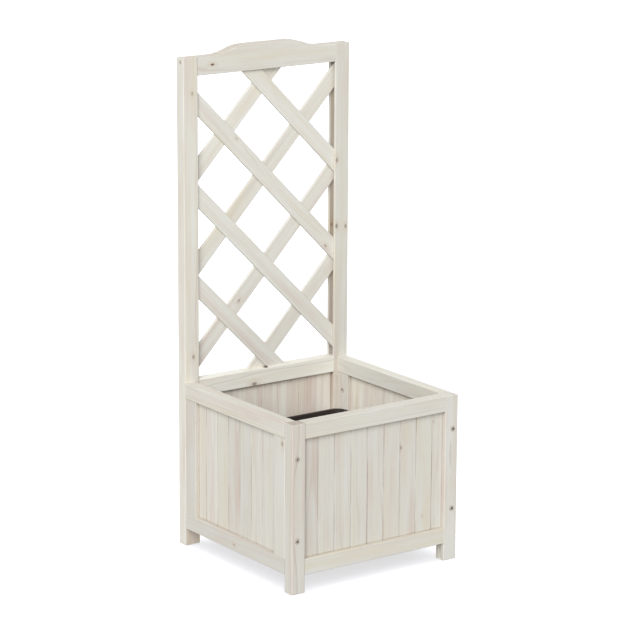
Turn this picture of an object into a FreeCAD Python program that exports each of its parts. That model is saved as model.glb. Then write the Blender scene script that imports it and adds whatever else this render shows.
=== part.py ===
import FreeCAD, Part
import math
import os

# Planter with trellis: a square timber box on four feet, whose rear frame rises into a lattice trellis.
# Millimetres. +Z is up, -Y is the front, +X is to the right. The origin is on the floor, under the middle.
# The frame members are grooved for the planks, the stub tenons and the slat ends at the stiles.

# Overall sizes
overall_width = 400.0
overall_depth = 397.0
rim_height = 340.0              # top of the front and side frames
stile_height = 993.0            # top of the rear stiles
ground_clearance = 36.0         # gap under the bottom rails

# Frame timber
frame_thickness = 25.0
rear_stile_width = 34.0
front_leg_width = 31.0
side_stile_width = 36.5
rail_height = 32.0              # every rail of the front and side frames, and the rear bottom rail
middle_rail_height = 34.0
middle_rail_step = 3.0          # how far the middle rail stands above the rim
crest_rail_height = 37.0        # at its two ends
crest_rise = 16.0               # how much higher the middle of the crest rail is
crest_flat_half = 49.0          # half length of the raised flat
crest_sweep = 85.0              # length of the S-curve each side of it
edge_radius = 1.6               # rounded edges of the frame timber

# Grooves and stub tenons
groove_depth = 8.0
tenon_length = 7.5
groove_play = 0.4               # groove width over what sits in it
groove_stop = 6.0               # uncut wood left above a groove at the top of a leg or stile

# Planks: tongued and grooved boards, upright in the frames
plank_thickness = 7.0
plank_setback = 9.0             # plank face behind the frame's outer face
plank_cover = 39.5              # face width of a full plank on the front and sides
rear_plank_cover = 37.0         # face width of a full plank at the back
plank_side_hold = 4.0           # how far the outermost planks reach into the side grooves
plank_end_hold = 7.5            # how far plank ends reach into the rails
front_first_plank = 39.5
side_first_plank = 30.5         # ripped plank next to the rear stile
rear_first_plank = 28.0         # ripped plank next to the right-hand stile
plank_joint_gap = 0.3
plank_bevel = 0.8               # bevel on the face edges
tongue_length = 3.0
tongue_thickness = 2.2
tongue_play = 0.3

# Trellis: two crossing layers of slats
slat_width = 33.0
slat_thickness = 6.0
slat_setback = 5.0              # front layer behind the rear frame's front face
slat_hold = 7.0                 # how far slat ends reach into the stiles and rails
mortise_slack = 4.0             # room at each end of a rail's mortise for a slat
slat_edge_radius = 1.2
slats_per_layer = 4
front_slat_angle = 45.0         # degrees, falling to the right
front_slat_low = 25.5           # lowest front slat above the middle rail, on the centre line
front_slat_high = 35.5          # highest front slat below the crest rail, on the centre line
rear_slat_angle = 46.5          # degrees, rising to the right
rear_slat_low = 23.5
rear_slat_high = 20.1

# Floor of the box
cleat_size = 18.0
cleat_end_gap = 3.0
floor_slat_count = 5
floor_slat_width = 58.0
floor_slat_thickness = 10.0
floor_end_gap = 2.0             # floor slats to the side rails
floor_edge_gap = 6.0            # first and last floor slat to the front and rear rails

# Plant insert: a moulded plastic tub that lifts out
insert_height = 172.0
insert_side_gap = 5.0           # rim to the side rails
insert_rear_gap = 16.0          # rim to the front and rear rails
insert_wall = 2.5
insert_rim_width = 5.0
insert_rim_drop = 9.0           # height of the turned-down lip
insert_taper = 10.0             # how much each wall leans in from rim to floor
insert_corner_radius = 18.0
drain_radius = 6.0
drain_spacing = 90.0

# Connector bolts and barrel nuts, which hold the side frames to the front and rear frames
bolt_radius = 3.0
bolt_play = 0.25                # round the shank
bolt_head_radius = 5.0
bolt_head_height = 2.4
bolt_head_proud = 1.2           # how far a head stands out of the frame's face
bolt_seat_play = 0.4            # round the head
bolt_socket_across = 4.0        # hexagon socket, across flats
bolt_socket_depth = 1.8
bolt_length = 50.0              # without the head
bolt_end_room = 1.0             # bore past the end of the bolt
bolt_low_rise = 39.0            # lower bolts above the bottom rails
bolt_high_drop = 37.0           # upper bolts below the top rails
nut_radius = 5.0
nut_play = 0.2
nut_length = 14.0
nut_depth = 18.0                # nut axis behind the end of the side frame

# Wood screws
crest_screw_length = 55.0
crest_screw_drop = 9.0          # below the top of the stile
cleat_screw_length = 30.0       # cleats to the side rails
floor_screw_length = 24.0       # floor slats to the cleats
screw_radius = 2.0
screw_head_radius = 4.0
screw_head_height = 2.4
screw_sink = 0.4                # head below the surface

tolerance = 1e-6                # a length below this counts as none

# Planes and heights that the pieces share
half_width = overall_width / 2
half_depth = overall_depth / 2
bolt_hole_radius = bolt_radius + bolt_play
bolt_seat_radius = bolt_head_radius + bolt_seat_play
nut_hole_radius = nut_radius + nut_play
front_inner = -half_depth + frame_thickness         # inner face of the front frame
rear_inner = half_depth - frame_thickness           # front face of the rear frame
side_inner = half_width - frame_thickness           # inner faces of the side frames
rail_low_top = ground_clearance + rail_height
rail_high_under = rim_height - rail_height
middle_top = rim_height + middle_rail_step
middle_under = middle_top - middle_rail_height
crest_under = stile_height - crest_rail_height
trellis_half = half_width - rear_stile_width        # inner edges of the rear stiles
front_half = half_width - front_leg_width           # inner edges of the front legs
side_rear_edge = rear_inner - side_stile_width      # inner edges of the side stiles
side_front_edge = front_inner + side_stile_width
cleat_top = ground_clearance + cleat_size
floor_top = cleat_top + floor_slat_thickness

X_AXIS = FreeCAD.Vector(1, 0, 0)
Y_AXIS = FreeCAD.Vector(0, 1, 0)
Z_AXIS = FreeCAD.Vector(0, 0, 1)


def block(low, high):
    """A plain box from its lowest to its highest corner."""
    size = [b - a for a, b in zip(low, high)]
    return Part.makeBox(size[0], size[1], size[2], FreeCAD.Vector(*low))


def rounded(shape, radius, direction=None):
    """Round the straight edges of a box, either all of them or those along one direction."""
    edges = []
    for edge in shape.Edges:
        along = edge.Vertexes[1].Point - edge.Vertexes[0].Point
        if direction is None or along.normalize().cross(direction).Length < tolerance:
            edges.append(edge)
    return shape.makeFillet(radius, edges)


def timber(low, high, direction=None):
    """A piece of frame timber with its edges rounded."""
    return rounded(block(low, high), edge_radius, direction)


def mirrored(shape):
    """The same piece on the other side of the planter."""
    return shape.mirror(FreeCAD.Vector(0, 0, 0), X_AXIS)


def rod(radius, start, direction, length):
    """A round rod, or the tool that drills its hole."""
    return Part.makeCylinder(radius, length, FreeCAD.Vector(*start), direction)


def layer(face, setback, thickness, play=0.0):
    """Lowest and highest coordinate of a layer that lies behind a face, on the face's + side."""
    return face + setback - play / 2, face + setback + thickness + play / 2


# Where each frame's grooves, planks and tenons lie, across the frame's thickness
front_face = -half_depth
front_groove = layer(front_face, plank_setback, plank_thickness, groove_play)
front_plank_layer = layer(front_face, plank_setback, plank_thickness)
rear_groove = layer(rear_inner, plank_setback, plank_thickness, groove_play)
rear_plank_layer = layer(rear_inner, plank_setback, plank_thickness)
left_groove = layer(-half_width, plank_setback, plank_thickness, groove_play)
left_plank_layer = layer(-half_width, plank_setback, plank_thickness)
trellis_groove = layer(rear_inner, slat_setback, 2 * slat_thickness, groove_play)
trellis_layer = layer(rear_inner, slat_setback, 2 * slat_thickness)

bolt_x = half_width - frame_thickness / 2
bolt_heights = (rail_low_top + bolt_low_rise, rail_high_under - bolt_high_drop)


# Fixings and the holes they need

def hexagon(across, depth):
    """A hexagonal prism on the Z axis, from z = 0 up."""
    corner = across / math.sqrt(3)
    points = []
    for i in range(7):
        turn = math.radians(60 * i)
        points.append(FreeCAD.Vector(corner * math.cos(turn), corner * math.sin(turn), 0))
    return Part.Face(Part.makePolygon(points)).extrude(Z_AXIS * depth)


def connector_bolt():
    """A bolt standing on its head: head's outer face at z = 0, shank upwards."""
    head = Part.makeCylinder(bolt_head_radius, bolt_head_height)
    head = head.makeFillet(bolt_head_proud / 2, [head.Edges[2]])
    shank = rod(bolt_radius, (0, 0, bolt_head_height), Z_AXIS, bolt_length)
    return head.fuse(shank).cut(hexagon(bolt_socket_across, bolt_socket_depth))


def place_bolt(shape, x, z, outer_face, inward):
    """Lay a bolt along Y at a frame's outer face. inward is 1 towards +Y and -1 towards -Y."""
    turned = shape.copy()
    turned.rotate(FreeCAD.Vector(0, 0, 0), X_AXIS, -90 * inward)
    turned.translate(FreeCAD.Vector(x, outer_face - inward * bolt_head_proud, z))
    return turned


def bolt_holes(x, outer_face, inward):
    """What the bolts of one leg or stile need removed: seats for the heads and clearance holes."""
    tools = []
    for z in bolt_heights:
        start = (x, outer_face - inward * bolt_head_proud, z)
        tools.append(rod(bolt_seat_radius, start, Y_AXIS * inward, bolt_head_height))
        tools.append(rod(bolt_hole_radius, start, Y_AXIS * inward, bolt_head_proud + frame_thickness))
    return tools


def side_frame_holes(x, frame_end, inward):
    """Bores for bolts and barrel nuts in the side stile whose outer edge lies at frame_end."""
    tools = []
    reach = bolt_head_height - bolt_head_proud + bolt_length - frame_thickness + bolt_end_room
    for z in bolt_heights:
        tools.append(rod(bolt_hole_radius, (x, frame_end, z), Y_AXIS * inward, reach))
        mouth = math.copysign(side_inner, x)
        outward = X_AXIS * math.copysign(1, x)
        depth = abs(x) - side_inner + nut_length / 2
        tools.append(rod(nut_hole_radius, (mouth, frame_end + inward * nut_depth, z), outward, depth))
    return tools


def barrel_nut(x, frame_end, inward, z):
    """A steel cross dowel round a bolt's end, with its tapped hole left at the bolt's size."""
    start = (x - nut_length / 2, frame_end + inward * nut_depth, z)
    nut = rod(nut_radius, start, X_AXIS, nut_length)
    return nut.cut(rod(bolt_radius, (x, frame_end, z), Y_AXIS * inward, 2 * nut_depth))


def wood_screw(length):
    """A countersunk screw standing on its head, head's face at z = 0."""
    head = Part.makeCone(screw_head_radius, screw_radius, screw_head_height)
    shank = rod(screw_radius, (0, 0, screw_head_height), Z_AXIS, length - screw_head_height - screw_radius)
    top = length - screw_radius
    point = Part.makeCone(screw_radius, 0, screw_radius, FreeCAD.Vector(0, 0, top))
    return head.fuse([shank, point]).removeSplitter()


def place_screw(length, start, direction):
    """A wood screw with its head's face at start, driven along direction."""
    screw = wood_screw(length)
    turn = FreeCAD.Rotation(Z_AXIS, direction)
    screw.Placement = FreeCAD.Placement(FreeCAD.Vector(*start), turn)
    return screw


def screw_hole(length, start, direction):
    """The hole for such a screw, with room for its head above the face."""
    room = rod(screw_head_radius, start, direction * -1, frame_thickness)
    return place_screw(length, start, direction).fuse(room)


# Rear frame

crest_screw_x = half_width - screw_sink
crest_screw_y = (trellis_layer[0] + trellis_layer[1]) / 2
crest_screw_z = stile_height - crest_screw_drop
crest_screw_start = (-crest_screw_x, crest_screw_y, crest_screw_z)


def rear_stile():
    """The left rear stile: a plank groove up to the middle rail, and the wider slat groove above it."""
    stile = timber((-half_width, rear_inner, 0), (-trellis_half, half_depth, stile_height))
    mouth = -trellis_half + edge_radius
    floor = -trellis_half - groove_depth
    low = block((floor, rear_groove[0], -edge_radius), (mouth, rear_groove[1], middle_top))
    groove_top = stile_height - groove_stop
    high = block((floor, trellis_groove[0], middle_top), (mouth, trellis_groove[1], groove_top))
    tools = [low, high, screw_hole(crest_screw_length, crest_screw_start, X_AXIS)]
    return stile.cut(tools + bolt_holes(-bolt_x, half_depth, -1))


def cross_rail(half_length, face, z_low, z_high):
    """A rail along X between two uprights, its front at face, with no joints yet."""
    low = (-half_length, face, z_low)
    high = (half_length, face + frame_thickness, z_high)
    return timber(low, high, X_AXIS)


def cross_tenons(half_length, across, z_low, z_high):
    """The two stub tenons of a rail along X."""
    tenons = []
    for side in (-1, 1):
        ends = sorted((side * half_length, side * (half_length + tenon_length)))
        tenons.append(block((ends[0], across[0], z_low), (ends[1], across[1], z_high)))
    return tenons


def cross_groove(half_length, across, z_low, z_high):
    """The groove along a rail that runs in X."""
    return block((-half_length, across[0], z_low), (half_length, across[1], z_high))


def crest_outline():
    """Front view of the crest rail: flat ends, an S-curve of two equal arcs each side, a raised middle."""
    end = trellis_half
    top = stile_height
    raised = top + crest_rise
    sweep_end = crest_flat_half + crest_sweep
    middle = crest_flat_half + crest_sweep / 2
    middle_z = top + crest_rise / 2
    radius = (crest_sweep ** 2 + crest_rise ** 2) / (4 * crest_rise)
    half_turn = math.asin(crest_sweep / 2 / radius) / 2
    reach = radius * math.sin(half_turn)
    drop = radius * (1 - math.cos(half_turn))

    def at(x, z):
        return FreeCAD.Vector(x, rear_inner, z)

    def arc(a, b, c):
        return Part.Arc(a, b, c).toShape()

    def line(a, b):
        return Part.LineSegment(a, b).toShape()

    def sweep(side):
        """The S-curve of one side, from the end of the rail inwards."""
        meeting = at(side * middle, middle_z)
        summit = at(side * crest_flat_half, raised)
        low = arc(at(side * sweep_end, top), at(side * (sweep_end - reach), top + drop), meeting)
        high = arc(meeting, at(side * (crest_flat_half + reach), raised - drop), summit)
        return [low, high]

    edges = [line(at(-end, crest_under), at(end, crest_under))]
    edges.append(line(at(-crest_flat_half, raised), at(crest_flat_half, raised)))
    for side in (-1, 1):
        edges.append(line(at(side * end, crest_under), at(side * end, top)))
        edges.append(line(at(side * end, top), at(side * sweep_end, top)))
        edges += sweep(side)
    return Part.Face(Part.Wire(Part.sortEdges(edges)[0]))


def lattice_slat(angle, height, y_low):
    """One slat, cut off inside the frame round the trellis. angle is from the X axis."""
    reach = stile_height
    slat = block((-reach, y_low, -slat_width / 2), (reach, y_low + slat_thickness, slat_width / 2))
    slat = rounded(slat, slat_edge_radius, X_AXIS)
    slat.rotate(FreeCAD.Vector(0, 0, 0), Y_AXIS, -angle)
    slat.translate(Z_AXIS * height)
    window_low = (-trellis_half - slat_hold, trellis_layer[0], middle_top - slat_hold)
    window_high = (trellis_half + slat_hold, trellis_layer[1], crest_under + slat_hold)
    return slat.common(block(window_low, window_high))


def lattice_layer(angle, low_gap, high_gap, y_low):
    """All the slats of one layer, from the lowest up, spread evenly between the two rails."""
    lowest = middle_top + low_gap
    pitch = (crest_under - high_gap - lowest) / (slats_per_layer - 1)
    return [lattice_slat(angle, lowest + pitch * i, y_low) for i in range(slats_per_layer)]


layer_meeting = trellis_layer[0] + slat_thickness
front_slats = lattice_layer(-front_slat_angle, front_slat_low, front_slat_high, trellis_layer[0])
rear_slats = lattice_layer(rear_slat_angle, rear_slat_low, rear_slat_high, layer_meeting)


def slat_mortises(rail_low, rail_high, z_low, z_high):
    """Mortises from z_low to z_high for the slats that end in the rail between its two heights."""
    rail_space = block((-trellis_half, rear_inner, rail_low), (trellis_half, half_depth, rail_high))
    mortises = []
    for slat in front_slats + rear_slats:
        end = slat.common(rail_space)
        if end.Solids:
            box = end.BoundBox
            low = (box.XMin - mortise_slack, box.YMin - groove_play / 2, z_low)
            high = (box.XMax + mortise_slack, box.YMax + groove_play / 2, z_high)
            mortises.append(block(low, high))
    return mortises


def crest_rail():
    """The top rail of the trellis, mortised underneath for the slats and tenoned into the stiles."""
    rail = crest_outline().extrude(Y_AXIS * frame_thickness)
    long_edges = []
    for edge in rail.Edges:
        box = edge.BoundBox
        if box.YLength < tolerance < box.XLength:
            long_edges.append(edge)
    rail = rail.makeFillet(edge_radius, long_edges)
    mortises = slat_mortises(crest_under, stile_height, crest_under - edge_radius, crest_under + groove_depth)
    tenon_low = crest_under + groove_depth
    tenons = cross_tenons(trellis_half, trellis_layer, tenon_low, stile_height - groove_stop)
    holes = [screw_hole(crest_screw_length, crest_screw_start, X_AXIS)]
    holes.append(mirrored(holes[0]))
    return rail.cut(mortises).fuse(tenons).cut(holes)


def middle_rail():
    """The rail between trellis and box: slat mortises on top, plank groove underneath."""
    rail = cross_rail(trellis_half, rear_inner, middle_under, middle_top)
    mortises = slat_mortises(middle_under, middle_top, middle_top - groove_depth, middle_top + edge_radius)
    groove_top = middle_under + groove_depth
    groove = cross_groove(trellis_half, rear_groove, middle_under - edge_radius, groove_top)
    tenons = cross_tenons(trellis_half, rear_plank_layer, groove_top, middle_top - groove_depth)
    return rail.cut(mortises + [groove]).fuse(tenons)


def bottom_rail(half_length, face, groove, planks):
    """A front or rear bottom rail, grooved on top for the planks."""
    rail = cross_rail(half_length, face, ground_clearance, rail_low_top)
    slot = cross_groove(half_length, groove, rail_low_top - groove_depth, rail_low_top + edge_radius)
    tenons = cross_tenons(half_length, planks, ground_clearance + edge_radius, rail_low_top - groove_depth)
    return rail.cut(slot).fuse(tenons)


# Planks

def plank_profile(start, end, face, back, tongue, groove):
    """Section of a plank as (along the wall, across it) points: groove at the start, tongue at the end."""
    centre = (face + back) / 2
    bevelled = face + math.copysign(plank_bevel, back - face)
    points = [(start + plank_bevel, face), (end - plank_bevel, face), (end, bevelled)]
    if tongue:
        half = math.copysign(tongue_thickness / 2, back - face)
        points += [(end, centre - half), (end + tongue_length, centre - half)]
        points += [(end + tongue_length, centre + half), (end, centre + half)]
    points += [(end, back), (start, back)]
    if groove:
        half = math.copysign((tongue_thickness + tongue_play) / 2, back - face)
        depth = tongue_length + tongue_play
        points += [(start, centre + half), (start + depth, centre + half)]
        points += [(start + depth, centre - half), (start, centre - half)]
    points.append((start, bevelled))
    return points


def plank_joints(start, end, first, cover):
    """Where the planks meet, counted from the first plank's outer edge. start may exceed end."""
    step = 1 if end > start else -1
    joints = [start]
    nearest = start + step * first
    while (end - nearest) * step > tongue_length + plank_bevel:
        joints.append(nearest)
        nearest += step * cover
    joints.append(end)
    return sorted(joints)


def wall_planks(joints, face, back, z_low, z_high, along_x):
    """All the planks of one wall. along_x is true on the front and rear walls, false on the sides."""
    planks = []
    for i in range(len(joints) - 1):
        start = joints[i] + (plank_joint_gap / 2 if i > 0 else 0)
        last = i == len(joints) - 2
        end = joints[i + 1] - (0 if last else plank_joint_gap / 2)
        section = plank_profile(start, end, face, back, not last, i > 0)
        section.append(section[0])
        if along_x:
            corners = [FreeCAD.Vector(u, v, z_low) for u, v in section]
        else:
            corners = [FreeCAD.Vector(v, u, z_low) for u, v in section]
        planks.append(Part.Face(Part.makePolygon(corners)).extrude(Z_AXIS * (z_high - z_low)))
    return planks


plank_low = rail_low_top - plank_end_hold
plank_high = rail_high_under + plank_end_hold
rear_plank_high = middle_under + plank_end_hold

front_reach = front_half + plank_side_hold
front_joints = plank_joints(-front_reach, front_reach, front_first_plank, plank_cover)

rear_reach = trellis_half + plank_side_hold
rear_joints = plank_joints(rear_reach, -rear_reach, rear_first_plank, rear_plank_cover)

side_rear_reach = side_rear_edge + plank_side_hold
side_front_reach = side_front_edge - plank_side_hold
side_joints = plank_joints(side_rear_reach, side_front_reach, side_first_plank, plank_cover)


# Front frame

def front_leg():
    """The left front leg, grooved from its foot to just under its top."""
    leg = timber((-half_width, -half_depth, 0), (-front_half, front_inner, rim_height))
    low = (-front_half - groove_depth, front_groove[0], -edge_radius)
    high = (-front_half + edge_radius, front_groove[1], rim_height - groove_stop)
    return leg.cut([block(low, high)] + bolt_holes(-bolt_x, -half_depth, 1))


def front_top_rail():
    """The front rail of the rim, grooved underneath."""
    rail = cross_rail(front_half, front_face, rail_high_under, rim_height)
    groove_top = rail_high_under + groove_depth
    groove = cross_groove(front_half, front_groove, rail_high_under - edge_radius, groove_top)
    tenons = cross_tenons(front_half, front_plank_layer, groove_top, rim_height - groove_stop)
    return rail.cut(groove).fuse(tenons)


# Side frames. The rails run the whole length of the frame and the stiles stand between them.

def side_rail(z_low, z_high):
    """A left side rail."""
    return timber((-half_width, front_inner, z_low), (-side_inner, rear_inner, z_high), Y_AXIS)


def side_groove(z_low, z_high):
    """The groove along a left side rail."""
    return block((left_groove[0], front_inner, z_low), (left_groove[1], rear_inner, z_high))


def side_top_rail():
    groove = side_groove(rail_high_under - edge_radius, rail_high_under + groove_depth)
    return side_rail(rail_high_under, rim_height).cut(groove)


def side_bottom_rail():
    groove = side_groove(rail_low_top - groove_depth, rail_low_top + edge_radius)
    return side_rail(ground_clearance, rail_low_top).cut(groove).cut(cleat_screw_holes())


def side_stile(outer, inner, holes):
    """A left side stile from its outer edge, at a leg or rear stile, to its grooved inner edge."""
    ends = sorted((outer, inner))
    stile = timber((-half_width, ends[0], rail_low_top), (-side_inner, ends[1], rail_high_under), Z_AXIS)
    towards = math.copysign(1, outer - inner)
    cut = sorted((inner - towards * edge_radius, inner + towards * groove_depth))
    low = (left_groove[0], cut[0], rail_low_top)
    high = (left_groove[1], cut[1], rail_high_under)
    span = sorted((outer, inner + towards * groove_depth))
    tenons = []
    for z_low, z_high in ((rail_low_top - tenon_length, rail_low_top),
                          (rail_high_under, rail_high_under + tenon_length)):
        tenons.append(block((left_plank_layer[0], span[0], z_low), (left_plank_layer[1], span[1], z_high)))
    return stile.cut([block(low, high)] + holes).fuse(tenons)


# Floor

cleat_reach = min(rear_inner, -front_inner) - cleat_end_gap
cleat_screw_z = ground_clearance + cleat_size / 2
floor_reach = min(rear_inner, -front_inner) - floor_edge_gap
floor_pitch = (2 * floor_reach - floor_slat_width) / (floor_slat_count - 1)
floor_slat_centres = [-floor_reach + floor_slat_width / 2 + floor_pitch * i for i in range(floor_slat_count)]
cleat_inner = side_inner - cleat_size


def cleat_screw_starts():
    """Heads of the screws from the left cleat into the side rail, midway between the floor slats."""
    face = -cleat_inner - screw_sink
    return [(face, y + floor_pitch / 2, cleat_screw_z) for y in floor_slat_centres[:-1]]


def cleat_screw_holes():
    return [screw_hole(cleat_screw_length, start, X_AXIS * -1) for start in cleat_screw_starts()]


def floor_screw_starts():
    """Heads of the screws that go down through the floor slats into the left cleat."""
    x = -side_inner + cleat_size / 2
    return [(x, y, floor_top - screw_sink) for y in floor_slat_centres]


def floor_screw_holes():
    return [screw_hole(floor_screw_length, start, Z_AXIS * -1) for start in floor_screw_starts()]


def floor_cleat():
    """The left cleat, screwed to the side bottom rail."""
    cleat = block((-side_inner, -cleat_reach, ground_clearance), (-cleat_inner, cleat_reach, cleat_top))
    return cleat.cut(cleat_screw_holes() + floor_screw_holes())


def floor_slat(centre):
    """One board of the floor, lying on both cleats."""
    reach = side_inner - floor_end_gap
    low = (-reach, centre - floor_slat_width / 2, cleat_top)
    high = (reach, centre + floor_slat_width / 2, floor_top)
    slat = rounded(block(low, high), edge_radius, X_AXIS)
    holes = floor_screw_holes()
    return slat.cut(holes + [mirrored(hole) for hole in holes])


# Plant insert

insert_top = floor_top + insert_height
insert_half_x = side_inner - insert_side_gap
insert_half_y = rear_inner - insert_rear_gap
insert_body_x = insert_half_x - insert_rim_width
insert_body_y = insert_half_y - insert_rim_width


def round_rectangle(half_x, half_y, radius, z):
    """A rectangle with rounded corners, level at z."""
    corners = []
    for quarter, (side_x, side_y) in enumerate(((1, 1), (-1, 1), (-1, -1), (1, -1))):
        centre = FreeCAD.Vector(side_x * (half_x - radius), side_y * (half_y - radius), z)
        points = []
        for part_way in (0, 1 / 2, 1):
            angle = math.pi / 2 * (quarter + part_way)
            points.append(centre + FreeCAD.Vector(math.cos(angle), math.sin(angle), 0) * radius)
        corners.append(points)
    edges = []
    for points, following in zip(corners, corners[1:] + corners[:1]):
        edges.append(Part.Arc(*points).toShape())
        edges.append(Part.LineSegment(points[-1], following[0]).toShape())
    return Part.Wire(edges)


def tapered(shrink, z_low, z_high):
    """A tapering block of the insert's shape. shrink is how far it lies inside the outer wall."""
    half_x = insert_body_x - shrink
    half_y = insert_body_y - shrink
    radius = insert_corner_radius - shrink
    top = round_rectangle(half_x, half_y, radius, z_high)
    low = round_rectangle(half_x - insert_taper, half_y - insert_taper, radius, z_low)
    return Part.makeLoft([low, top], True, True)


def ring(half_x, half_y, radius, thickness, z_low, z_high):
    """A level rounded-rectangle ring."""
    outer = Part.Face(round_rectangle(half_x, half_y, radius, z_low))
    inner = Part.Face(round_rectangle(half_x - thickness, half_y - thickness, radius - thickness, z_low))
    return outer.cut(inner).extrude(Z_AXIS * (z_high - z_low))


def plant_insert():
    """The lift-out tub: tapered walls, a turned-down rim and drain holes in its floor."""
    outer = tapered(0, floor_top, insert_top)
    hollow = tapered(insert_wall, floor_top + insert_wall, insert_top)
    rim_radius = insert_corner_radius + insert_rim_width
    rim = ring(insert_half_x, insert_half_y, rim_radius, insert_rim_width + insert_wall / 2,
               insert_top - insert_wall, insert_top)
    lip_low = insert_top - insert_rim_drop
    lip = ring(insert_half_x, insert_half_y, rim_radius, insert_wall, lip_low, insert_top)
    drains = []
    for x in (-drain_spacing, 0, drain_spacing):
        for y in (-drain_spacing, 0, drain_spacing):
            drains.append(rod(drain_radius, (x, y, floor_top), Z_AXIS, insert_wall))
    return outer.cut(hollow).fuse([rim, lip]).cut(drains)


# Write the parts

def save(name, shapes):
    """Write one node: a solid, or a group of separate solids."""
    if isinstance(shapes, list):
        shape = Part.makeCompound([solid for item in shapes for solid in item.Solids])
    else:
        shape = shapes
    if not shape.isValid():
        raise ValueError(name + " is not a valid solid")
    shape.exportStep("parts/" + name + ".step")


os.makedirs("parts", exist_ok=True)

stile = rear_stile()
save("rear_stile_left", stile)
save("rear_stile_right", mirrored(stile))
save("crest_rail", crest_rail())
save("middle_rail", middle_rail())
save("rear_bottom_rail", bottom_rail(trellis_half, rear_inner, rear_groove, rear_plank_layer))
for number in range(slats_per_layer):
    save(f"trellis_slat_front_{number + 1}", front_slats[number])
    save(f"trellis_slat_rear_{number + 1}", rear_slats[number])
rear_inside, rear_outside = rear_plank_layer
rear_wall = wall_planks(rear_joints, rear_outside, rear_inside, plank_low, rear_plank_high, True)
save("rear_planks", rear_wall)

leg = front_leg()
save("front_leg_left", leg)
save("front_leg_right", mirrored(leg))
save("front_top_rail", front_top_rail())
save("front_bottom_rail", bottom_rail(front_half, front_face, front_groove, front_plank_layer))
front_wall = wall_planks(front_joints, *front_plank_layer, plank_low, plank_high, True)
for number, plank in enumerate(front_wall):
    save(f"front_plank_{number + 1}", plank)

left_pieces = {
    "rear_stile": side_stile(rear_inner, side_rear_edge, side_frame_holes(-bolt_x, rear_inner, -1)),
    "front_stile": side_stile(front_inner, side_front_edge, side_frame_holes(-bolt_x, front_inner, 1)),
    "top_rail": side_top_rail(),
    "bottom_rail": side_bottom_rail(),
}
side_planks = wall_planks(side_joints, *left_plank_layer, plank_low, plank_high, False)
for number, plank in enumerate(side_planks):
    left_pieces[f"plank_{number + 1}"] = plank
for name, piece in left_pieces.items():
    save("left_" + name, piece)
    save("right_" + name, mirrored(piece))

cleat = floor_cleat()
save("floor_cleat_left", cleat)
save("floor_cleat_right", mirrored(cleat))
save("floor_slats", [floor_slat(centre) for centre in floor_slat_centres])
save("plant_insert", plant_insert())

bolts = []
nuts = []
bolt = connector_bolt()
for x in (-bolt_x, bolt_x):
    for z in bolt_heights:
        bolts.append(place_bolt(bolt, x, z, -half_depth, 1))
        bolts.append(place_bolt(bolt, x, z, half_depth, -1))
        nuts.append(barrel_nut(x, front_inner, 1, z))
        nuts.append(barrel_nut(x, rear_inner, -1, z))
save("connector_bolts", bolts)
save("barrel_nuts", nuts)

crest_screw = place_screw(crest_screw_length, crest_screw_start, X_AXIS)
save("crest_screws", [crest_screw, mirrored(crest_screw)])
cleat_screws = [place_screw(cleat_screw_length, start, X_AXIS * -1) for start in cleat_screw_starts()]
floor_screws = [place_screw(floor_screw_length, start, Z_AXIS * -1) for start in floor_screw_starts()]
left_screws = cleat_screws + floor_screws
save("floor_screws", left_screws + [mirrored(screw) for screw in left_screws])
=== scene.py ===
import math
import random

import bpy
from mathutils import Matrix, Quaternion, Vector


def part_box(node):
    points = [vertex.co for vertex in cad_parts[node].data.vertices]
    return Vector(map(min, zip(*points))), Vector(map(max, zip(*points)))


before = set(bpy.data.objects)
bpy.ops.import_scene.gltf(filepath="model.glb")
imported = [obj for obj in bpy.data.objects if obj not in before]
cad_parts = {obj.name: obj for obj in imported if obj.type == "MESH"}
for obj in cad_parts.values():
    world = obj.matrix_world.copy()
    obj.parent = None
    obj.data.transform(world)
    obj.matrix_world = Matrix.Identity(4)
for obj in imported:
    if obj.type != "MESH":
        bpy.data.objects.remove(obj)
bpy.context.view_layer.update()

# Planter with trellis: whitewashed softwood, dull zinc fixings and a black moulded insert.
# Metres, or mm where a comment says so. +Z is up, -Y is the front, +X is to the right, as in the frame.

MM = 0.001


# Camera, at the photograph's viewing angle

CAMERA_AT = Vector((-3.2305, -4.5088, 1.8462))
CAMERA_AIM = Vector((0.0010, -0.0066, 0.4791))
CAMERA_ROLL = 0.315             # degrees
CAMERA_LENS = 162.65            # mm, on a sensor of 36 mm
CAMERA_REACH = 100              # far enough for the floor


def make_camera():
    """A long lens from the front left, a little above the trellis."""
    data = bpy.data.cameras.new("camera")
    data.lens = CAMERA_LENS
    data.clip_end = CAMERA_REACH
    camera = bpy.data.objects.new("camera", data)
    bpy.context.scene.collection.objects.link(camera)
    level = (CAMERA_AIM - CAMERA_AT).to_track_quat("-Z", "Y")
    camera.rotation_mode = "QUATERNION"
    camera.rotation_quaternion = level @ Quaternion((0, 0, 1), math.radians(CAMERA_ROLL))
    camera.location = CAMERA_AT
    bpy.context.scene.camera = camera


# Materials

MATH = "ShaderNodeMath"
VECTOR = "ShaderNodeVectorMath"
NOISE = "ShaderNodeTexNoise"
RANGE = "ShaderNodeMapRange"
MIX = "ShaderNodeMix"
COLOURS = {"data_type": "RGBA"}
SMOOTH = {"interpolation_type": "SMOOTHSTEP"}


def linear(colour):
    """Linear RGBA of an sRGB hex colour."""
    parts = [int(colour[i:i + 2], 16) / 255 for i in (1, 3, 5)]
    return [p / 12.92 if p <= 0.04045 else ((p + 0.055) / 1.055) ** 2.4 for p in parts] + [1.0]


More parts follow.
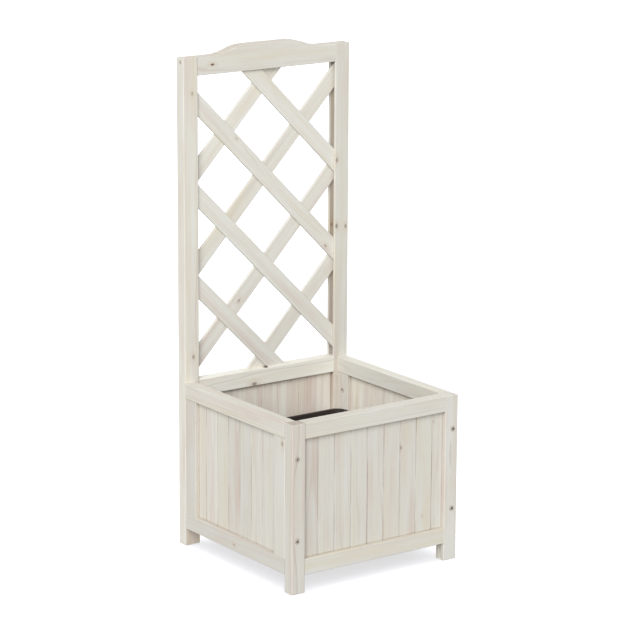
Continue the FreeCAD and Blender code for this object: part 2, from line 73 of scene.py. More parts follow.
def add(tree, kind, inputs=None, output=0, **settings):
    """Add a node and give back one of its outputs. inputs are values or the sockets to link from."""
    node = tree.nodes.new(kind)
    for name, value in settings.items():
        setattr(node, name, value)
    for key, value in (inputs or {}).items():
        if isinstance(value, bpy.types.NodeSocket):
            tree.links.new(value, node.inputs[key])
        else:
            node.inputs[key].default_value = value
    if kind == MIX:
        output = "Result"
    return node.outputs[output] if node.outputs else None


def new_material(name, **values):
    """A material with a Principled shader, its tree and the shader. values are uniform over the surface."""
    material = bpy.data.materials.new(name)
    material.use_nodes = True
    tree = material.node_tree
    tree.nodes.clear()
    surface = add(tree, "ShaderNodeBsdfPrincipled", {k.replace("_", " "): v for k, v in values.items()})
    add(tree, "ShaderNodeOutputMaterial", {"Surface": surface})
    return material, tree, surface.node


# Whitewashed fir. A pattern's pair of numbers is its length along the grain and its width, in mm.

FIR_IOR = 1.48
FIR_EARLY = "#C6A581"           # spring growth, greyed a little by the wash that soaked in
FIR_LATE = "#8F6546"            # the harder, darker line that ends each year's ring
FIR_PINK = "#C0937D"            # heartwood streaks
FIR_STRAW = "#CDB67C"           # sapwood streaks
FIR_KNOT = "#624433"
WASH = "#DDDCD4"
SEAM_AND_SHADE = "#6B534A"                # dust and bare wood at the bottom of the joints, and the colour of painted shade in recesses

STREAK = (260, 8)               # bands where the wash lies thicker or thinner
STROKE = (110, 20)              # overlapping strokes of the brush
FIBRE = (45, 1.1)               # coarser than the real fibre so that it shows
BAND = (420, 15)                # heartwood and sapwood
PINK_BAND = (0.48, 0.74)        # values of that pattern over which the wood turns pink
STRAW_BAND = (0.50, 0.32)       # and over which it turns straw
TINT_SHIFT = 0.12               # how far a board's own tint moves both

RING_SPACING = 3.4              # mm, the mean width of a year's growth
RING_SPELL = 3 * RING_SPACING   # mm, a spell of wide or narrow years, and the push of a knot on the rings
RING_BENDS = (380, 45)
RING_BENT = 30.0                # mm, how far the rings bend
LATE_GROWS = (0.4, 0.9)         # of a year, where its wood darkens
LATE_ENDS = (1.0, 0.93)         # of a year, where the next spring's wood begins

KNOT_SLIM = 0.6                 # width of a knot over its length
KNOT_CORE = (1.5, 0.3)          # in radii, where a knot begins to darken and where it is darkest
KNOT_BEND = (4.5, 0.8)          # in radii, where the grain begins to bend round it and where it bends most
KNOT_THROUGH = 0.15             # how much less a knot changes through the board's thickness

CUT_END = (0.7, 0.95)           # how squarely a face looks along the grain
ARRIS = (0.98, 0.80)            # how squarely a face looks along any axis, from flat to bevelled
FACING = 0.7                    # how squarely a face looks inwards to count as inside

STREAK_THINS, STROKE_THINS, FIBRE_THINS = 0.34, 0.42, 0.22    # how much less of the wood the wash hides
LUCK_THINS, BEND_THINS, CORE_THINS = 0.18, 0.18, 0.5
BAND_THINS, END_THINS = 0.08, 0.8
DUST_AND_SHADE_PATCHES = (0.36, 0.62)     # values of the stroke pattern between which dust and painted shade go from least to most
DUST_AND_SHADE_LEAST = 0.2
BORDER = (2.6, 0.78)            # mm from the edge of a panel, where dust and painted shade begin and where they are thickest
BARE_ROUGH, WASH_ROUGHENS = 0.48, 0.25
LATE_RISES, FIBRE_RISES, KNOT_RISES = 0.4, 0.8, -1.0          # of the raised grain
RAISED_GRAIN = 0.15             # mm, how far the wash lifted the fibres

PATTERN_REACH = 2000            # mm, how far off a board's own stretch of the patterns may begin
ROW_SHIFT = (631, 83, 47)       # mm between the stretches of neighbours in a row

GRAIN_TURN = {                  # turns that lay a board's grain along the pattern's X axis
    "x": (0, 0, 0),
    "y": (0, 0, -math.pi / 2),
    "z": (0, math.pi / 2, 0),
    "falling": (0, math.radians(-45), 0),
    "rising": (0, math.radians(46.5), 0),
}


def places_on(tree, board, chance):
    """Where a point is: in mm, then from the board's middle with the grain along X, then on the board's own
    stretch of the endless patterns. The last value is the board's number in its row."""
    place = add(tree, "ShaderNodeTexCoord", output="Object")
    in_mm = add(tree, VECTOR, {0: place, "Scale": 1 / MM}, operation="SCALE")
    from_middle = add(tree, VECTOR, {0: in_mm, 1: board["middle"]}, operation="SUBTRACT")
    number = 0.0
    if board["row"]:
        axis, pitch = board["row"]
        along = add(tree, VECTOR, {0: from_middle, 1: axis}, output="Value", operation="DOT_PRODUCT")
        along = add(tree, MATH, {0: along, 1: pitch}, operation="DIVIDE")
        number = add(tree, MATH, {0: along}, operation="ROUND")
        step = add(tree, VECTOR, {0: [a * pitch for a in axis], "Scale": number}, operation="SCALE")
        from_middle = add(tree, VECTOR, {0: from_middle, 1: step}, operation="SUBTRACT")
    turn = GRAIN_TURN[board["grain"]]
    turned = add(tree, "ShaderNodeMapping", {"Vector": from_middle, "Rotation": turn})
    start = [chance.uniform(-PATTERN_REACH, PATTERN_REACH) for axis in "xyz"]
    stretch = add(tree, VECTOR, {0: ROW_SHIFT, "Scale": number}, operation="SCALE")
    stretch = add(tree, VECTOR, {0: stretch, 1: start}, operation="ADD")
    pattern = add(tree, VECTOR, {0: turned, 1: stretch}, operation="ADD")
    return in_mm, turned, pattern, number


def drawn_out(tree, pattern, size, detail=3.0):
    """Noise drawn out along the grain. size is its length and width in mm."""
    length, width = size
    scaled = add(tree, VECTOR, {0: pattern, 1: (1 / length, 1 / width, 1 / width)}, operation="MULTIPLY")
    return add(tree, NOISE, {"Vector": scaled, "Scale": 1.0, "Detail": detail})


def depth_in(tree, in_mm, box):
    """How far a point lies inside the nearest wall of a box, in mm, and below 0 outside it."""
    low, high = box
    middle = [(a + b) / 2 for a, b in zip(low, high)]
    half = [(b - a) / 2 for a, b in zip(low, high)]
    away = add(tree, VECTOR, {0: in_mm, 1: middle}, operation="SUBTRACT")
    away = add(tree, VECTOR, {0: away}, operation="ABSOLUTE")
    depth = add(tree, VECTOR, {0: half, 1: away}, operation="SUBTRACT")
    depth = add(tree, "ShaderNodeSeparateXYZ", {0: depth})
    least = add(tree, MATH, {0: depth, 1: depth.node.outputs[1]}, operation="MINIMUM")
    return add(tree, MATH, {0: least, 1: depth.node.outputs[2]}, operation="MINIMUM")


def knots_in(tree, in_mm, board):
    """The dark cores of a board's knots, right through it, and how much the grain bends round them."""
    core, bend = 0.0, 0.0
    turn = GRAIN_TURN[board["grain"]]
    for point, radius, strength in board["knots"]:
        away = add(tree, VECTOR, {0: in_mm, 1: point}, operation="SUBTRACT")
        away = add(tree, "ShaderNodeMapping", {"Vector": away, "Rotation": turn, "Scale": board["through"]})
        shape = (KNOT_SLIM / radius, 1 / radius, 1 / radius)
        away = add(tree, VECTOR, {0: away, 1: shape}, operation="MULTIPLY")
        away = add(tree, VECTOR, {0: away}, output="Value", operation="LENGTH")
        dark = add(tree, RANGE, {"Value": away, "From Min": KNOT_CORE[0], "From Max": KNOT_CORE[1],
                                 "To Max": strength}, **SMOOTH)
        core = add(tree, MATH, {0: core, 1: dark}, operation="MAXIMUM")
        near = add(tree, RANGE, {"Value": away, "From Min": KNOT_BEND[0], "From Max": KNOT_BEND[1],
                                 "To Max": strength}, **SMOOTH)
        bend = add(tree, MATH, {0: bend, 1: near}, operation="MAXIMUM")
    return core, bend


def late_wood(tree, turned, pattern, pith, bend):
    """The dark line that ends each year's ring. The rings go round a pith outside the board, and each year is
    a little wider or narrower and stronger or fainter than the last."""
    out = add(tree, VECTOR, {0: turned, 1: pith}, operation="SUBTRACT")
    out = add(tree, VECTOR, {0: out, 1: (0, 1, 1)}, operation="MULTIPLY")
    out = add(tree, VECTOR, {0: out}, output="Value", operation="LENGTH")
    bends = drawn_out(tree, pattern, RING_BENDS, detail=1.5)
    out = add(tree, MATH, {0: bends, 1: RING_BENT, 2: out}, operation="MULTIPLY_ADD")
    out = add(tree, MATH, {0: bend, 1: RING_SPELL, 2: out}, operation="MULTIPLY_ADD")
    growth = add(tree, MATH, {0: out, 1: RING_SPELL}, operation="DIVIDE")
    growth = add(tree, NOISE, {"W": growth, "Scale": 1.0, "Detail": 1.0}, noise_dimensions="1D")
    out = add(tree, MATH, {0: growth, 1: RING_SPELL, 2: out}, operation="MULTIPLY_ADD")
    years = add(tree, MATH, {0: out, 1: RING_SPACING}, operation="DIVIDE")
    season = add(tree, MATH, {0: years}, operation="FRACT")
    year = add(tree, MATH, {0: years}, operation="FLOOR")
    rise = add(tree, RANGE, {"Value": season, "From Min": LATE_GROWS[0], "From Max": LATE_GROWS[1]},
               **SMOOTH)
    fall = add(tree, RANGE, {"Value": season, "From Min": LATE_ENDS[0], "From Max": LATE_ENDS[1]})
    strength = add(tree, "ShaderNodeTexWhiteNoise", {"W": year}, noise_dimensions="1D")
    strength = add(tree, MATH, {0: strength, 1: strength}, operation="MULTIPLY")
    late = add(tree, MATH, {0: rise, 1: fall}, operation="MULTIPLY")
    return add(tree, MATH, {0: late, 1: strength}, operation="MULTIPLY")


def faces_of(tree, board):
    """Three masks: cut ends, bevels and rounded edges where they are steepest, and the board's inside."""
    normal = add(tree, "ShaderNodeTexCoord", output="Normal")
    turn = GRAIN_TURN[board["grain"]]
    facing = add(tree, "ShaderNodeMapping", {"Vector": normal, "Rotation": turn}, vector_type="VECTOR")
    facing = add(tree, VECTOR, {0: facing}, operation="ABSOLUTE")
    endwise = add(tree, "ShaderNodeSeparateXYZ", {0: facing})
    cut_end = add(tree, RANGE, {"Value": endwise, "From Min": CUT_END[0], "From Max": CUT_END[1]})
    most = add(tree, MATH, {0: endwise.node.outputs[1], 1: endwise.node.outputs[2]}, operation="MAXIMUM")
    most = add(tree, MATH, {0: endwise, 1: most}, operation="MAXIMUM")
    arris = add(tree, RANGE, {"Value": most, "From Min": ARRIS[0], "From Max": ARRIS[1]})
    within = 0.0
    if board["inside"]:
        within = add(tree, VECTOR, {0: normal, 1: board["inside"]}, output="Value", operation="DOT_PRODUCT")
        within = add(tree, MATH, {0: within, 1: FACING}, operation="GREATER_THAN")
    return cut_end, arris, within


def whitewashed_fir(name, board):
    """Fir, machine planed and brushed with one thin coat of white wash: matt, with the grain showing through
    faintly, more so where a year's growth ends, round knots, in bare places and on end grain. Where the
    tables say so, its brightness and its dark places are also painted light and painted shade."""
    chance = random.Random(name)
    material, tree, shader = new_material("whitewashed_fir_" + name, IOR=FIR_IOR)
    in_mm, turned, pattern, number = places_on(tree, board, chance)
    angle = chance.uniform(0, math.tau)
    pith = [0, board["pith"] * math.cos(angle), board["pith"] * math.sin(angle)]
    core, bend = knots_in(tree, in_mm, board)
    late = late_wood(tree, turned, pattern, pith, bend)
    cut_end, arris, within = faces_of(tree, board)
    streak = drawn_out(tree, pattern, STREAK)
    fibre = drawn_out(tree, pattern, FIBRE)
    stroke = drawn_out(tree, pattern, STROKE)
    band = drawn_out(tree, pattern, BAND)
    hue = board["tint"] * TINT_SHIFT
    pink = add(tree, RANGE, {"Value": band, "From Min": PINK_BAND[0] - hue,
                             "From Max": PINK_BAND[1] - hue}, **SMOOTH)
    straw = add(tree, RANGE, {"Value": band, "From Min": STRAW_BAND[0] - hue,
                              "From Max": STRAW_BAND[1] - hue}, **SMOOTH)

    # How much the wash hides. Patches of even noise count from their mean, and the rest only takes away.
    patchy = [(streak, STREAK_THINS), (stroke, STROKE_THINS), (fibre, FIBRE_THINS)]
    if board["row"]:
        luck = add(tree, "ShaderNodeTexWhiteNoise", {"W": number}, noise_dimensions="1D")
        patchy.append((luck, LUCK_THINS))
    thinner = [
        (late, board["grainy"]),
        (bend, BEND_THINS),
        (core, CORE_THINS),
        (cut_end, END_THINS * board["thirst"]),
        (within, board["inside_wear_and_shade"]),
        (pink, BAND_THINS),
        (straw, BAND_THINS),
    ]
    stained_and_shaded = []
    for box, wear_and_shade, dirt_and_shade in board["worn_and_shaded"]:
        there = add(tree, MATH, {0: depth_in(tree, in_mm, box), 1: 0.0}, operation="GREATER_THAN")
        thinner.append((there, wear_and_shade))
        stained_and_shaded.append((there, dirt_and_shade))
    hidden = board["cover"] + sum(amount for where, amount in patchy) / 2
    for where, amount in patchy + thinner:
        hidden = add(tree, MATH, {0: where, 1: -amount, 2: hidden}, operation="MULTIPLY_ADD")
    hidden = add(tree, MATH, {0: hidden, 1: 0.0}, operation="ADD", use_clamp=True)

    timber = linear(FIR_EARLY)
    for where, colour in ((late, FIR_LATE), (pink, FIR_PINK), (straw, FIR_STRAW), (core, FIR_KNOT)):
        timber = add(tree, MIX, {"Factor": where, "A": timber, "B": linear(colour)}, **COLOURS)
    # tone brightens the wash; on boards that sit in shade this is painted light
    wash = [board["tone"] * c for c in linear(WASH)[:3]] + [1.0]
    painted = add(tree, MIX, {"Factor": hidden, "A": timber, "B": wash}, **COLOURS)

    # Dust and bare wood show in the joints and on cut ends; round each panel, inside and in bare places it is
    # also painted shade.
    stained_and_shaded += [(cut_end, board["thirst"]), (within, board["inside_dust_and_shade"])]
    patches = add(tree, RANGE, {"Value": stroke, "From Min": DUST_AND_SHADE_PATCHES[0], "From Max": DUST_AND_SHADE_PATCHES[1],
                                "To Min": DUST_AND_SHADE_LEAST})
    if board["panel"]:
        opening, border_dust_and_shade, joint_dust = board["panel"]
        joints = add(tree, MATH, {0: arris, 1: patches}, operation="MULTIPLY")
        depth = depth_in(tree, in_mm, opening)
        border = add(tree, RANGE, {"Value": depth, "From Min": BORDER[0], "From Max": BORDER[1]})
        half_even = add(tree, MATH, {0: patches, 1: 0.5, 2: 0.5}, operation="MULTIPLY_ADD")
        border = add(tree, MATH, {0: border, 1: half_even}, operation="MULTIPLY")
        stained_and_shaded += [(joints, joint_dust), (border, border_dust_and_shade)]
    grime_and_shade = 0.0
    for where, amount in stained_and_shaded:
        grime_and_shade = add(tree, MATH, {0: where, 1: amount, 2: grime_and_shade}, operation="MULTIPLY_ADD")
    painted = add(tree, MIX, {"Factor": grime_and_shade, "A": painted, "B": linear(SEAM_AND_SHADE)}, **COLOURS)
    tree.links.new(painted, shader.inputs["Base Color"])
    rough = add(tree, MATH, {0: hidden, 1: WASH_ROUGHENS, 2: BARE_ROUGH}, operation="MULTIPLY_ADD")
    tree.links.new(rough, shader.inputs["Roughness"])

    relief = add(tree, MATH, {0: late, 1: LATE_RISES}, operation="MULTIPLY")
    relief = add(tree, MATH, {0: fibre, 1: FIBRE_RISES, 2: relief}, operation="MULTIPLY_ADD")
    relief = add(tree, MATH, {0: core, 1: KNOT_RISES, 2: relief}, operation="MULTIPLY_ADD")
    bump = add(tree, "ShaderNodeBump", {"Height": relief, "Strength": 0.7, "Distance": RAISED_GRAIN * MM})
    tree.links.new(bump, shader.inputs["Normal"])
    return material


# Moulded plastic

PLASTIC_IOR = 1.49
PLASTIC_DARK, PLASTIC_PALE = "#231C19", "#362C28"
GRIT = 0.8                      # mm, coarser than the real sparked texture so that it shows
GRIT_DEPTH = 0.08               # mm
HAZE = 60                       # mm, patches of a duller surface


def moulded_polypropylene():
    """Black polypropylene, injection moulded in a fine spark-eroded mould: a soft broad gloss."""
    material, tree, shader = new_material("moulded_polypropylene", IOR=PLASTIC_IOR)
    place = add(tree, "ShaderNodeTexCoord", output="Object")
    grit = add(tree, NOISE, {"Vector": place, "Scale": 1 / (GRIT * MM), "Detail": 2.0})
    haze = add(tree, NOISE, {"Vector": place, "Scale": 1 / (HAZE * MM), "Detail": 3.0})
    colour = {"Factor": haze, "A": linear(PLASTIC_DARK), "B": linear(PLASTIC_PALE)}
    tree.links.new(add(tree, MIX, colour, **COLOURS), shader.inputs["Base Color"])
    rough = add(tree, RANGE, {"Value": haze, "To Min": 0.55, "To Max": 0.72})
    tree.links.new(rough, shader.inputs["Roughness"])
    bump = add(tree, "ShaderNodeBump", {"Height": grit, "Strength": 0.4, "Distance": GRIT_DEPTH * MM})
    tree.links.new(bump, shader.inputs["Normal"])
    return material


# Dull zinc

BLOOM = 3                       # mm, the mottle of tumbled plating
BLOOM_DEPTH = 0.05              # mm
DRIED_WASH = "#B9AEA0"          # a thin smear of wash on metal
DRIED_RAGGED = 1.2              # mm, how far its edge wanders

# Heads with wash round their rims, alike on both sides of a middle. In mm: the middle, a head's distance from
# it, the axes that run across a head (the third doesn't count), and where the smear begins and is full.
BOLT_HEADS = ((0, 0, 189), (188, 0, 82), (1, 0, 1), 2.6, 3.6)
CREST_SCREW_HEADS = ((0, 187, 985.6), (0, 0, 0), (0, 1, 1), 0.6, 2.0)

STEEL = {                       # the finish's name, its dark and pale grey, and heads with wash on them
    "connector_bolts": ("bolts", "#4E5052", "#808284", BOLT_HEADS),
    # The nuts' zinc is painted pale and warm, a painted reflection of the wood round them, so they don't show
    # dark in the shade of their holes.
    "barrel_nuts": ("nuts", "#A39D94", "#CFC9BF", None),
    "crest_screws": ("crest_screws", "#8E8B86", "#B4B0AA", CREST_SCREW_HEADS),
    "floor_screws": ("floor_screws", "#6E7072", "#A2A4A6", None),
}


def dull_zinc(name, dark, pale, heads):
    """Steel with tumbled zinc plate: grey, broken up in tone, with a blurred shine. Where there are heads, a
    smear of wash has dried round their rims."""
    material, tree, shader = new_material("dull_zinc_" + name, Metallic=1.0)
    place = add(tree, "ShaderNodeTexCoord", output="Object")
    bloom = add(tree, NOISE, {"Vector": place, "Scale": 1 / (BLOOM * MM), "Detail": 4.0})
    colour = add(tree, MIX, {"Factor": bloom, "A": linear(dark), "B": linear(pale)}, **COLOURS)
    if heads:
        middle, reach, across, clean, full = heads
        away = add(tree, VECTOR, {0: place, "Scale": 1 / MM}, operation="SCALE")
        away = add(tree, VECTOR, {0: away, 1: middle}, operation="SUBTRACT")
        away = add(tree, VECTOR, {0: away}, operation="ABSOLUTE")
        away = add(tree, VECTOR, {0: away, 1: reach}, operation="SUBTRACT")
        away = add(tree, VECTOR, {0: away, 1: across}, operation="MULTIPLY")
        away = add(tree, VECTOR, {0: away}, output="Value", operation="LENGTH")
        away = add(tree, MATH, {0: bloom, 1: DRIED_RAGGED, 2: away}, operation="MULTIPLY_ADD")
        dried = add(tree, RANGE, {"Value": away, "From Min": clean, "From Max": full})
        colour = add(tree, MIX, {"Factor": dried, "A": colour, "B": linear(DRIED_WASH)}, **COLOURS)
        metal = add(tree, MATH, {0: 1.0, 1: dried}, operation="SUBTRACT")
        tree.links.new(metal, shader.inputs["Metallic"])
    tree.links.new(colour, shader.inputs["Base Color"])
    rough = add(tree, RANGE, {"Value": bloom, "To Min": 0.34, "To Max": 0.6})
    tree.links.new(rough, shader.inputs["Roughness"])
    bump = add(tree, "ShaderNodeBump", {"Height": bloom, "Strength": 0.2, "Distance": BLOOM_DEPTH * MM})
    tree.links.new(bump, shader.inputs["Normal"])
    return material


# How each board lies, and what its wood is like. Amounts of wash, dust and darkness are shares of 1.
# KNOTS, TINTS, THIRST, ROWS and MORTISE_SHADOW name their nodes in full. In the other tables a key stands for
# every
# # node whose name starts with it, and the first key that fits counts.

GRAINS = {                      # the others' grain runs along their longest side
    "trellis_slat_front": "falling",
    "trellis_slat_rear": "rising",
    "rear_planks": "z",
}
ROWS = {                        # boards that share a node: the axis of their row, and their pitch in mm
    "rear_planks": ((1, 0, 0), 37.0),
    "floor_slats": ((0, 1, 0), 65.0),
}
KNOTS = {                       # its place and radius in mm, and how strongly it shows, which may pass 1
    "crest_rail": [((-132, 173.5, 975.6), 2.3, 1.5)],
    "middle_rail": [((-32.6, 173.5, 313), 4.0, 1.0)],
    "rear_stile_left": [((-179.4, 173.5, 922.3), 2.6, 0.6), ((-179.9, 173.5, 391.6), 3.0, 0.8)],
    "rear_stile_right": [((170.6, 173.5, 753.9), 3.4, 0.8), ((170.5, 173.5, 616.8), 3.4, 1.0),
                         ((193.3, 173.5, 614.1), 2.8, 0.9)],
    "trellis_slat_front_3": [((-72, 178.5, 822), 2.2, 0.6), ((146.6, 178.5, 577.6), 2.8, 0.7)],
    "trellis_slat_rear_2": [((-63.2, 184.5, 489.3), 2.5, 0.8)],
    "front_plank_7": [((66, -189.5, 249.7), 2.4, 0.8)],
    "front_plank_8": [((121, -189.5, 100.4), 2.4, 0.4)],
    "front_plank_9": [((146, -189.5, 290), 2.4, 0.5)],
    "left_front_stile": [((-200, -166, 296), 3.0, 0.8)],
    "left_plank_1": [((-191, -131, 123), 3.6, 0.8)],
    "left_bottom_rail": [((-200, 0, 48.7), 1.8, 0.7)],
}
# On the planks inside the box, the right top rail, the middle rail and the slats the brightness is also
# painted light, raised to make up for the shade on them.
TONES_AND_PAINTED_LIGHT = {                       # how bright the wash dried against the rest, and painted light
    "rear_planks": 1.24,
    "right_plank": 1.26,
    "right_top_rail": 1.05,
    "trellis_slat_rear_4": 1.15,
    "trellis_slat": 1.10,
    "crest_rail": 1.05,
    "rear_stile_left": 1.11,
    "rear_stile_right": 1.02,
    "middle_rail": 1.25,
    "front_plank_1": 0.93,
    "front_plank": 0.975,
    "front_leg_left": 0.96,
    "left_rear_stile": 0.94,
    "left_bottom_rail": 0.94,
    "left_plank_4": 0.95,
    "left_plank_5": 0.96,
    "left_plank_7": 1.05,
    "left_top_rail": 1.04,
}
TINTS = {                       # from straw at -1 to pink at 1. The others' tints are random.
    "trellis_slat_rear_4": 0.1,
    "trellis_slat_rear_3": -0.2,
    "right_top_rail": -0.4,
}
COVERS = {"floor_": 0.60}       # how much of the wood the wash hides
COVER = 0.92
COVER_LUCK = 0.03               # more or less, on any board
GRAINY = {"trellis_slat": 0.14}               # how much the late wood of each year shows
GRAINY_ELSE = 0.26
THIRST = {"front_leg_left": 0.24, "front_leg_right": 0.0}     # how dark a cut end is
THIRST_ELSE = 0.12
PITH_NEAR, PITH_FAR = 45, 130   # mm, from a board's middle to the tree's

# Faces given less wash: the inside of the planks, the faces of the frames that run down to the planks, and
# the top of the crest rail. Those of the frames hold dust; beside the planks and on the crest's top the loss
# and darkening are also painted shade.
THIN = 0.09
LEDGE_DUST, RECESS_DUST_AND_SHADE = 0.05, 0.12
INSIDES = {                     # which way the face looks, how much wash it lost, and its dust, partly painted shade
    "front_plank": ((0, 1, 0), THIN, 0.0),
    "left_plank": ((1, 0, 0), THIN, 0.0),
    "rear_plank": ((0, -1, 0), 0.17, 0.0),
    "right_plank": ((-1, 0, 0), 0.10, 0.0),
    "front_leg_left": ((1, 0, 0), THIN, RECESS_DUST_AND_SHADE),
    "front_leg_right": ((-1, 0, 0), THIN, RECESS_DUST_AND_SHADE),
    "left_front_stile": ((0, 1, 0), THIN, RECESS_DUST_AND_SHADE),
    "right_front_stile": ((0, 1, 0), THIN, RECESS_DUST_AND_SHADE),
    "left_rear_stile": ((0, -1, 0), THIN, RECESS_DUST_AND_SHADE),
    "right_rear_stile": ((0, -1, 0), THIN, RECESS_DUST_AND_SHADE),
    "front_bottom_rail": ((0, 0, 1), THIN, LEDGE_DUST),
    "left_bottom_rail": ((0, 0, 1), THIN, LEDGE_DUST),
    "right_bottom_rail": ((0, 0, 1), THIN, LEDGE_DUST),
    "rear_bottom_rail": ((0, 0, 1), THIN, LEDGE_DUST),
    "crest_rail": ((0, 0, 1), THIN, RECESS_DUST_AND_SHADE),
}
PANELS = {                      # what frames the planks: two uprights, the rail below and above
    "front_plank": ("front_leg_left", "front_leg_right", "front_bottom_rail", "front_top_rail"),
    "left_plank": ("left_front_stile", "left_rear_stile", "left_bottom_rail", "left_top_rail"),
    "right_plank": ("right_front_stile", "right_rear_stile", "right_bottom_rail", "right_top_rail"),
    "rear_plank": ("rear_stile_left", "rear_stile_right", "rear_bottom_rail", "middle_rail"),
}
PANEL_DUST_AND_SHADE = {                  # round its edge, dust and painted shade, and in the joints between its planks, dust
    "front_plank": (0.4, 0.55),
    "left_plank": (0.35, 0.6),
    "right_plank": (0.3, 0.45),
    "rear_plank": (0.85, 0.75),
}

# Bare places and painted shade: wash lost, and darkening. In the slat groove, beside the planks, on the foot
# and in the mortise gap the darkening is painted shade.
GROOVE_BARE_AND_SHADED = (0.10, 0.38)
EDGE_BARE_AND_SHADED = (0.3, 0.1)
FOOT_SHADE = (0.2, 0.26)
MORTISE_SHADOW_DARKNESS = (0.6, 0.95)
MORTISE_SHADOW = {                     # painted shadow in the gap of the mortise at the foot of the lowest slats: boxes in mm
    "middle_rail": ((-6, 174.3, 341), (3, 187, 344)),
    "trellis_slat_front_1": ((-5, 177, 340), (3, 185, 345.5)),
    "trellis_slat_rear_1": ((0, 183, 340), (9, 187, 346.5)),
}
GROOVE_DEPTH = 8.5              # mm, the slat groove in the rear stiles, left bare and painted darker as shade
CLOSE = 0.6                     # mm, to take in a face that a box only touches
CLEAR = 1.0                     # mm, to leave a face out, or to pass it
BEYOND = 1000                   # mm, past every part of the planter


def by_start(table, node, other):
    """What a table says of a node, by how the node's name starts."""
    return next((value for start, value in table.items() if node.startswith(start)), other)


def box_of(node):
    """Lowest and highest corner of a node in mm."""
    low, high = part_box(node)
    return low / MM, high / MM


def opening_of(panel):
    """The box that a frame leaves open for its planks, endless through their thickness. In mm."""
    first, last, below, above = panel
    low, high = box_of(first)[1], box_of(last)[0]
    bottom, top = box_of(below)[1].z, box_of(above)[0].z
    if high.x > low.x:
        return (low.x, -BEYOND, bottom), (high.x, BEYOND, top)
    return (-BEYOND, low.y, bottom), (BEYOND, high.y, top)


def worn_and_shaded_places(node):
    """Boxes in mm where a board has less wash, how much less, and how much darker it is made. On a rear stile
    they are the slat groove, left bare and painted darker as shade, the edge beside the planks and the foot
    under the rail, both painted shade. Elsewhere it is the dark patch painted as shadow in the mortise gap."""
    if node in MORTISE_SHADOW:
        return [(MORTISE_SHADOW[node], *MORTISE_SHADOW_DARKNESS)]
    if not node.startswith("rear_stile"):
        return []
    low, high = box_of(node)
    slats = box_of("trellis_slat_front_1")[0].y, box_of("trellis_slat_rear_1")[1].y
    rail, foot = box_of("middle_rail")[1].z, box_of("rear_bottom_rail")[0].z
    inner = min(abs(low.x), abs(high.x))
    side = math.copysign(1, low.x + high.x)
    across = sorted((side * (inner - CLOSE), side * (inner + GROOVE_DEPTH)))
    edge = sorted((side * (inner - CLOSE), side * (inner + CLOSE)))
    groove = (across[0], slats[0] - CLOSE, rail), (across[1], slats[1] + CLOSE, high.z)
    beside_planks = (edge[0], low.y + CLEAR, foot), (edge[1], high.y, rail)
    under_rail = (low.x - CLEAR, low.y - CLEAR, low.z - CLEAR), (high.x + CLEAR, low.y + CLOSE, foot)
    return [(groove, *GROOVE_BARE_AND_SHADED), (beside_planks, *EDGE_BARE_AND_SHADED), (under_rail, *FOOT_SHADE)]


def describe(node):
    """What the wood's pattern has to know about one board, or one row of boards. In mm."""
    chance = random.Random("board " + node)
    low, high = box_of(node)
    size = high - low
    longest = "xyz"[max(range(3), key=lambda i: size[i])]
    thin = min(range(3), key=lambda i: size[i])
    frame_nodes = by_start(PANELS, node, None)
    inside, inside_wear_and_shade, inside_dust_and_shade = by_start(INSIDES, node, (None, 0.0, 0.0))
    return {
        "grain": by_start(GRAINS, node, longest),
        "middle": tuple((low + high) / 2),
        "row": ROWS.get(node),
        "through": [KNOT_THROUGH if i == thin else 1.0 for i in range(3)],
        "knots": KNOTS.get(node, ()),
        "pith": chance.uniform(PITH_NEAR, PITH_FAR),
        "cover": by_start(COVERS, node, COVER) + chance.uniform(-COVER_LUCK, COVER_LUCK),
        "tone": by_start(TONES_AND_PAINTED_LIGHT, node, 1.0),
        "tint": TINTS.get(node, chance.uniform(-1, 1)),
        "grainy": by_start(GRAINY, node, GRAINY_ELSE),
        "thirst": THIRST.get(node, THIRST_ELSE),
        "inside": inside,
        "inside_wear_and_shade": inside_wear_and_shade,
        "inside_dust_and_shade": inside_dust_and_shade,
        "worn_and_shaded": worn_and_shaded_places(node),
        "panel": (opening_of(frame_nodes), *by_start(PANEL_DUST_AND_SHADE, node, None)) if frame_nodes else None,
    }


def finish(node):
    """The material of one node of the frame."""
    if node == "plant_insert":
        return moulded_polypropylene()
    if node in STEEL:
        return dull_zinc(*STEEL[node])
    return whitewashed_fir(node, describe(node))


# Studio. The floor is light grey under a strong light of its own that casts no shadow. So it comes out white,
# and it darkens only a little where the planter hides the sky from it.

FLOOR_REACH = 60.0              # from the middle to each side
FLOOR_GREY = "#ACADB0"
FLOOR_FROM, FLOOR_STRENGTH, FLOOR_SPREAD = (0, 0, 1), 9.2, 170
SKY = 0.37                      # radiance of the even white light all round

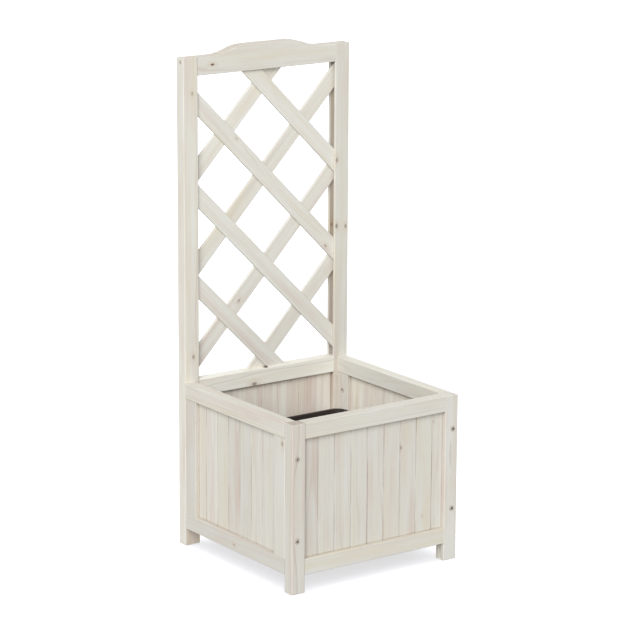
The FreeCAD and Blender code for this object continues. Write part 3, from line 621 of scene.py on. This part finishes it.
SUNS = {                        # where each soft light is, its strength and its spread in degrees
    "key": ((-0.69, -0.68, 0.62), 2.76, 40),
    "rear_fill": ((0.62, 0.72, 0.20), 1.6, 60),
    "low_fill": ((-0.50, -0.55, -0.67), 0.35, 100),           # what a white room throws back up
}


def sun(name, source, strength, spread, floor, floor_only=False):
    """A wide soft light that shines either on the floor, without shadows, or on all but the floor."""
    data = bpy.data.lights.new(name, "SUN")
    data.energy = strength
    data.angle = math.radians(spread)
    data.use_shadow = not floor_only
    light = bpy.data.objects.new(name, data)
    bpy.context.scene.collection.objects.link(light)
    light.rotation_mode = "QUATERNION"
    light.rotation_quaternion = Vector(source).to_track_quat("Z", "Y")
    lit = bpy.data.collections.new(name + "_lights")
    lit.objects.link(floor)
    lit.collection_objects[0].light_linking.link_state = "INCLUDE" if floor_only else "EXCLUDE"
    light.light_linking.receiver_collection = lit


def make_floor():
    """A pale matt floor, which throws no more light up than the room does."""
    mesh = bpy.data.meshes.new("floor")
    corners = [(x * FLOOR_REACH, y * FLOOR_REACH, 0) for x, y in ((-1, -1), (1, -1), (1, 1), (-1, 1))]
    mesh.from_pydata(corners, [], [(0, 1, 2, 3)])
    floor = bpy.data.objects.new("floor", mesh)
    bpy.context.scene.collection.objects.link(floor)
    mesh.materials.append(new_material("pale_floor", Base_Color=linear(FLOOR_GREY), Roughness=0.9)[0])
    floor.visible_diffuse = False
    floor.visible_shadow = False
    return floor


def studio():
    """A pale floor under soft, nearly even light."""
    floor = make_floor()
    world = bpy.data.worlds.new("soft_studio")
    world.use_nodes = True
    background = world.node_tree.nodes["Background"]
    background.inputs["Color"].default_value = linear("#FFFFFF")
    background.inputs["Strength"].default_value = SKY
    bpy.context.scene.world = world
    for name, (source, strength, spread) in SUNS.items():
        sun(name, source, strength, spread, floor)
    sun("floor_light", FLOOR_FROM, FLOOR_STRENGTH, FLOOR_SPREAD, floor, floor_only=True)
    bpy.context.scene.view_settings.view_transform = "Standard"


make_camera()
for node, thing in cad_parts.items():
    thing.data.materials.clear()
    thing.data.materials.append(finish(node))
studio()
